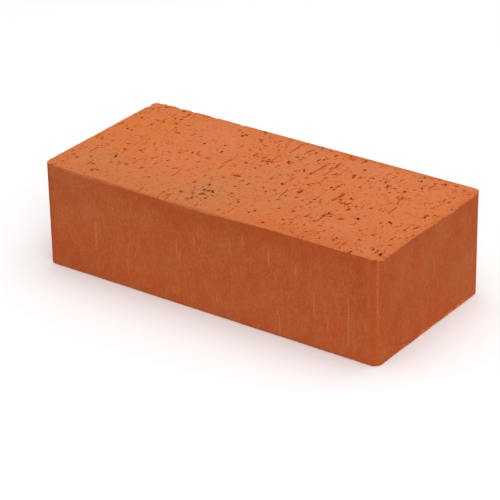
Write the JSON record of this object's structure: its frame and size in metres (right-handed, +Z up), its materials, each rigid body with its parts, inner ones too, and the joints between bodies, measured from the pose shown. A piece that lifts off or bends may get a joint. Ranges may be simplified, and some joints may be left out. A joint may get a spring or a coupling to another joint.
{
  "type": "solid clay brick",
  "caption": "Solid rectangular brick of fired red clay, with smooth rounded-corner sides and rough wire-cut bed faces, laid in mortar to build walls or paving.",
  "frame": {"origin": "centre of the lower bed face, on the surface that the brick stands on", "axes": "+X along the length, +Y along the width, +Z up from the lower bed face to the upper one"},
  "size_m": [0.203, 0.095, 0.057],
  "materials": {
    "fired_clay": "matte"
  },
  "bodies": {
    "root": {"brick": "fired_clay"}
  },
  "joints": []
}
